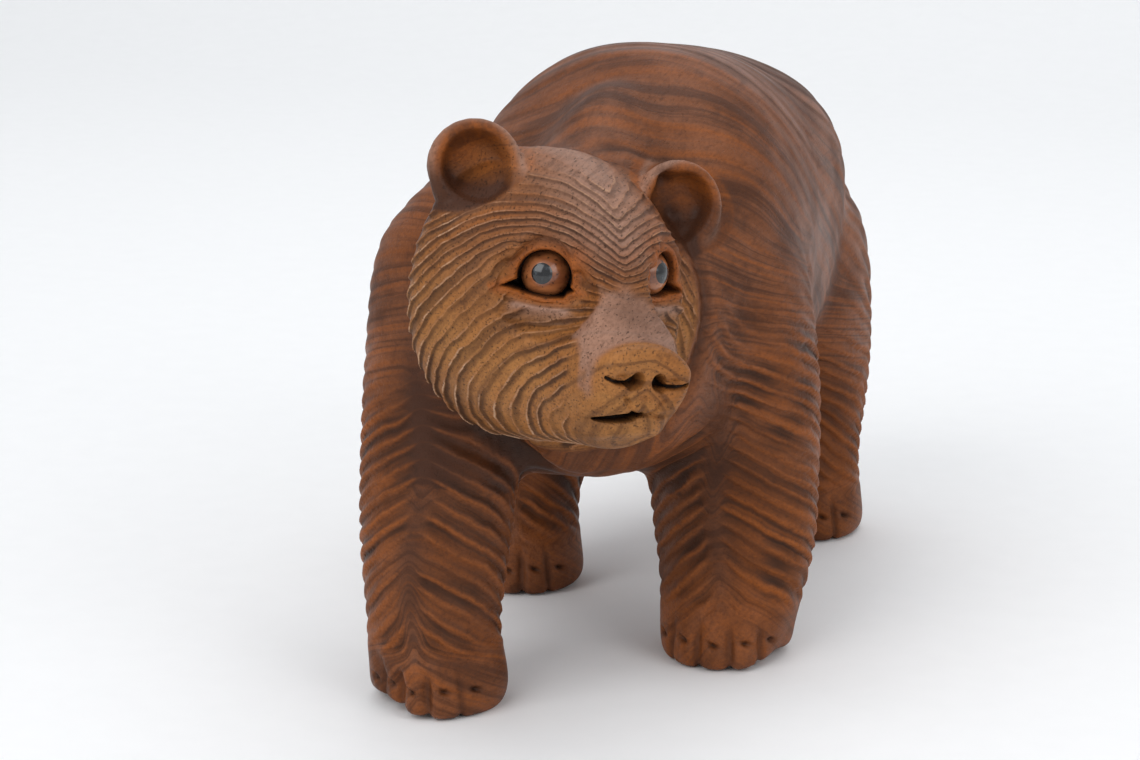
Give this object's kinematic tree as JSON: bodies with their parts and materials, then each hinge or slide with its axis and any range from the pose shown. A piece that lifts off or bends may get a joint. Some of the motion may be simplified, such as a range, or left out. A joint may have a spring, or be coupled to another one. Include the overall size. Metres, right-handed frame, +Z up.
{
  "type": "carved wooden bear figurine",
  "caption": "Free-standing figurine of a walking bear, hand-carved from one block of stained hardwood, head turned to its left, with inset wooden eyes.",
  "frame": {"origin": "on the ground under the middle of the figurine's overall box", "axes": "+Z up, -Y the way the bear walks, +X the bear's left side"},
  "size_m": [0.1239, 0.2795, 0.176],
  "materials": {
    "carved_wood": "gouge-carved hardwood, dark brown stain rubbed back on the crests, satin wax",
    "eye_wood": "turned hardwood bead, brown stain, satin",
    "pupil_black": "glossy black inlay"
  },
  "bodies": {
    "root": {"carved_body": "carved_wood", "left_eye": "eye_wood", "right_eye": "eye_wood", "left_pupil": "pupil_black", "right_pupil": "pupil_black"}
  },
  "joints": []
}
